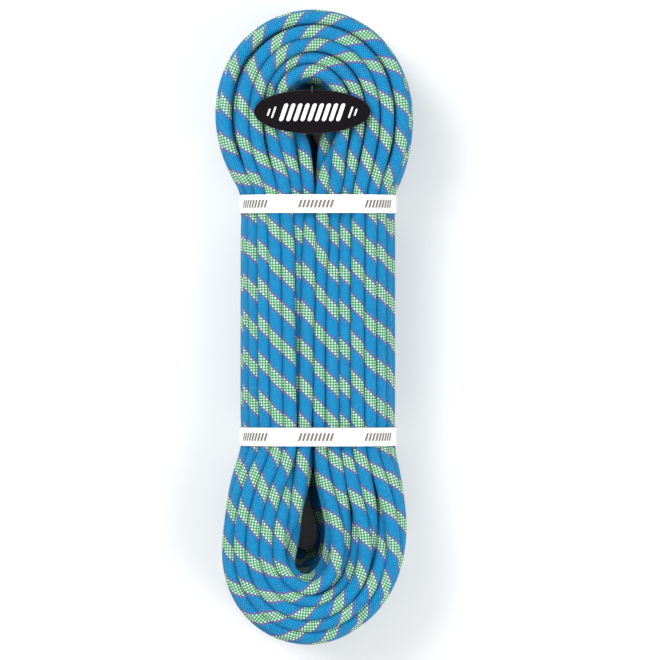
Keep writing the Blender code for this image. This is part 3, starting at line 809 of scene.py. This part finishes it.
def paper_material():
    n = Nodes("band_paper")
    where = n.place()
    fibre = n.noise(900.0, 4.0, where)
    cloud = n.noise(60.0, 2.0, where)
    tone = n.math("MULTIPLY_ADD", fibre, 0.5, n.math("MULTIPLY", cloud, 0.5))
    n.set(Base_Color=n.mix(tone, (0.90, 0.90, 0.89), (0.76, 0.76, 0.75)),
          Roughness=n.math("MULTIPLY_ADD", fibre, 0.2, 0.5), Specular_IOR_Level=0.35)
    n.bump(tone, 0.00015, 0.35)
    return n.mat


def print_material(name, colour, other):
    n = Nodes(name)
    grain = n.noise(1500.0, 3.0, n.place())
    n.set(Base_Color=n.mix(grain, colour, other), Roughness=n.math("MULTIPLY_ADD", grain, 0.2, 0.4))
    n.bump(grain, 0.00005, 0.3)
    return n.mat


def glue_material():
    n = Nodes("band_glue")
    drops = n.noise(500.0, 3.0, n.place())
    n.set(Base_Color=n.mix(drops, (0.75, 0.66, 0.42), (0.86, 0.80, 0.62)), Roughness=0.28,
          Transmission_Weight=0.25)
    n.bump(drops, 0.0002, 0.5)
    return n.mat


def board_material():
    n = Nodes("label_board")
    where = n.place()
    fibre = n.noise(700.0, 5.0, where)
    n.set(Base_Color=n.mix(fibre, (0.012, 0.011, 0.013), (0.030, 0.028, 0.031)),
          Roughness=n.math("MULTIPLY_ADD", fibre, 0.25, 0.5), Specular_IOR_Level=0.4)
    n.bump(fibre, 0.0001, 0.4)
    return n.mat


def film_material():
    n = Nodes("label_print_film")
    where = n.place()
    peel = n.noise(260.0, 3.0, where)
    fine = n.noise(2200.0, 2.0, where)
    n.set(Base_Color=n.mix(peel, (0.0045, 0.0035, 0.0050), (0.0080, 0.0060, 0.0085)),
          Roughness=n.math("MULTIPLY_ADD", fine, 0.12, 0.46), Specular_IOR_Level=0.05)
    n.bump(n.math("MULTIPLY_ADD", fine, 0.15, peel), 0.00006, 0.35)
    return n.mat


def elastic_material():
    n = Nodes("tie_elastic")
    wave = n.node("TexWave", {"Vector": n.place(), "Scale": 900.0, "Distortion": 1.5,
                              "Detail": 2.0}, bands_direction="Z").outputs[1]
    n.set(Base_Color=n.mix(wave, (0.010, 0.010, 0.012), (0.060, 0.060, 0.066)), Roughness=0.62,
          Sheen_Weight=0.2)
    n.bump(wave, 0.00012, 0.6)
    return n.mat


def plastic_material(name, light, dark):
    n = Nodes(name)
    grain = n.noise(450.0, 4.0, n.place())
    n.set(Base_Color=n.mix(grain, light, dark), Roughness=n.math("MULTIPLY_ADD", grain, 0.2, 0.3))
    n.bump(grain, 0.00008, 0.4)
    return n.mat


def melted_material():
    """Sheath and core melted together: dark blue with darker and paler streaks."""
    n = Nodes("fused_nylon")
    where = n.place()
    streak = n.noise(420.0, 5.0, where)
    patch = n.noise(150.0, 2.0, where)
    base = n.mix(streak, (0.010, 0.090, 0.230), (0.030, 0.200, 0.420))
    n.set(Base_Color=n.mix(n.math("MULTIPLY", patch, 0.5), base, (0.050, 0.040, 0.030)),
          Roughness=n.math("MULTIPLY_ADD", streak, 0.25, 0.16), Coat_Weight=0.3)
    n.bump(streak, 0.0004, 0.7)
    return n.mat


def sleeve_material():
    """Clear-coated film with plain rings printed round it, read along the sleeve."""
    n = Nodes("marker_film")
    z = n.node("SeparateXYZ", {0: n.place()}).outputs[2]
    length = (SLEEVE_SPAN[1] - SLEEVE_SPAN[0]) * MM
    near = n.math("LESS_THAN", n.math("ABSOLUTE", n.math("SUBTRACT", z, 0.17 * length)), 0.0011)
    far = n.math("LESS_THAN", n.math("ABSOLUTE", n.math("SUBTRACT", z, 0.83 * length)), 0.0011)
    ring = n.math("ADD", near, far)
    grain = n.noise(800.0, 3.0, n.place())
    body = n.mix(grain, (0.80, 0.81, 0.80), (0.70, 0.71, 0.71))
    n.set(Base_Color=n.mix(ring, body, (0.035, 0.040, 0.050)), Roughness=0.25,
          Coat_Weight=0.4, Coat_Roughness=0.12)
    n.bump(grain, 0.00008, 0.3)
    return n.mat


# ---------------------------------------------------------------- camera, light and floor

def aim(obj, place, target):
    obj.location = place
    obj.rotation_euler = (Vector(target) - Vector(place)).to_track_quat("-Z", "Y").to_euler()
    bpy.context.scene.collection.objects.link(obj)
    return obj


def make_camera():
    data = bpy.data.cameras.new("photo_camera")
    data.lens, data.sensor_width = LENS_MM, SENSOR_MM
    data.clip_start, data.clip_end = 0.05, 20
    camera = bpy.data.objects.new("photo_camera", data)
    camera.location = CAMERA_AT
    bpy.context.scene.collection.objects.link(camera)
    bpy.context.scene.camera = camera
    bpy.context.scene.view_settings.view_transform = "Standard"


def area_light(name, place, target, size, watts):
    data = bpy.data.lights.new(name, "AREA")
    data.shape, data.size, data.size_y = "RECTANGLE", *size
    data.energy = watts
    return aim(bpy.data.objects.new(name, data), place, target)


def make_studio():
    area_light("key_light", (-0.80, 0.60, 1.45), LIGHT_TARGET, (1.1, 1.1), watts=24)
    area_light("fill_light", (0.95, -0.45, 1.30), LIGHT_TARGET, (1.2, 1.2), watts=17)
    world = bpy.data.worlds.new("studio_air")
    world.use_nodes = True
    background = world.node_tree.nodes["Background"]
    background.inputs[0].default_value = (1, 1, 1, 1)
    background.inputs[1].default_value = WORLD_STRENGTH
    bpy.context.scene.world = world

    bm = bmesh.new()
    bmesh.ops.create_grid(bm, x_segments=8, y_segments=8, size=4.0)
    mesh = bpy.data.meshes.new("floor")
    bm.to_mesh(mesh)
    bm.free()
    floor = bpy.data.objects.new("floor", mesh)
    floor.location.z = -FLOOR_DROP
    bpy.context.scene.collection.objects.link(floor)
    n = Nodes("floor_paper")
    n.set(Base_Color=(FLOOR_WHITE,) * 3, Roughness=0.9)
    floor.data.materials.append(n.mat)


# ---------------------------------------------------------------- the rope

make_camera()
nodes_path, loose = wound_path()
settled = settle(nodes_path, loose, SETTLE_ROUNDS)
line = smooth_curve(settled[::2], 4)
line = resample(soften(line, 4, hold=12), RING_STEP)
rope = bpy.data.objects.new("rope", rope_mesh(line))
link(rope, "hank", braid_material())

melted, sleeve_film = melted_material(), sleeve_material()
for side, at_end in (("left_end", False), ("right_end", True)):
    tip, ahead = tip_frame(line, at_end)
    r = DIAMETER / 2
    dome = [(-0.9, r * 0.97), (-0.3, r * 1.015), (0.6, r * 1.02), (1.4, r * 0.97),
            (2.1, r * 0.86), (2.6, r * 0.66), (2.9, r * 0.4), (3.0, r * 0.12)]
    fused = turned(side + "_tip", dome, tip, ahead, wobble=0.012, seed=5 + at_end)
    sleeve = ring_sleeve(side + "_sleeve", tip, ahead)
    for piece, mat, name, node in ((fused, melted, "fused_nylon", "_fused_tip"),
                                   (sleeve, sleeve_film, "marker_film", "_marker_sleeve")):
        link(piece, "hank", mat, smooth=50)
        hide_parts(side + node)

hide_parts("rope_hank", "left_end_tail", "right_end_tail",
            "left_end_sheath", "right_end_sheath", "left_end_core", "right_end_core")

# ---------------------------------------------------------------- bands

paper = paper_material()
ink = print_material("band_ink", (0.120, 0.105, 0.095), (0.200, 0.180, 0.165))
for name, y in BAND_YS.items():
    way = band_line(GAP)
    _, total = along_line(way, [0])
    half = BAND_WIDTH / 2
    strip = bpy.data.objects.new(name + "_strip",
                                 strip_mesh(name, way, y, (0, total), half, BAND_THICKNESS))
    link(strip, name, paper, smooth=30)
    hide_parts(name)
    marks = bpy.data.meshes.new(name + "_print")
    bm = bmesh.new()
    # one mark sits in the middle of the front face, and the others follow from it both ways
    distances = np.arange(0, total, 0.5)
    at, _ = along_line(way, distances)
    in_front = (np.abs(at[:, 0] - FRONT_MIDDLE_X) < MIDDLE_FOUND) & (at[:, 1] > sum(WAIST_Z) / 2)
    centre = distances[in_front][0]
    first = centre - MARK_PERIOD * int((centre - MARK_LENGTH) / MARK_PERIOD)
    for mark in np.arange(first, total - MARK_LENGTH - BAND_OVERLAP, MARK_PERIOD):
        for k in range(MARK_BARS):
            at = mark + (k - (MARK_BARS - 1) / 2) * MARK_LENGTH / MARK_BARS
            bar = strip_mesh("bar", way, y, (at - BAR_HALF, at + BAR_HALF), MARK_HEIGHT / 2,
                             INK_THICKNESS, lift=BAND_THICKNESS + INK_CLEAR, step=0.8, rows=4,
                             slant=0.9)
            bm.from_mesh(bar)
            bpy.data.meshes.remove(bar)
    bm.to_mesh(marks)
    bm.free()
    printed = bpy.data.objects.new(name + "_print", marks)
    link(printed, name, ink)

# ---------------------------------------------------------------- label

white_ink = print_material("label_ink", (0.88, 0.88, 0.87), (0.80, 0.80, 0.79))
bm = bmesh.new()
cx, cy = LABEL_CENTRE
low, high = FILM_TOP + INK_CLEAR, FILM_TOP + MOTIF_THICKNESS
for k in range(MOTIF_BARS):
    x = cx + (k - MOTIF_BARS // 2) * MOTIF_STEP
    plate(bm, slanted_bar(x, cy - MOTIF_DROP, *MOTIF_BAR, MOTIF_LEAN), low, high)
for sign in (-1, 1):
    for offset, length in MOTIF_SIDES:
        x = cx + sign * offset
        plate(bm, slanted_bar(x, cy - MOTIF_DROP, MOTIF_SIDE_WIDTH, length, MOTIF_LEAN), low, high)
mesh = bpy.data.meshes.new("label_motif")
bm.to_mesh(mesh)
bm.free()
motif = bpy.data.objects.new("label_motif", mesh)
link(motif, "label", white_ink)

for node, mat in (("label_card", board_material()), ("label_film", film_material()),
                  ("label_tie", elastic_material()), ("upper_band_glue", glue_material()),
                  ("lower_band_glue", glue_material()),
                  ("tie_toggle", plastic_material("toggle_plastic", (0.02, 0.02, 0.022),
                                                  (0.045, 0.045, 0.048)))):
    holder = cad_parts[node]
    holder.data.materials.clear()
    holder.data.materials.append(mat)

# ---------------------------------------------------------------- studio

make_studio()
bpy.context.view_layer.update()
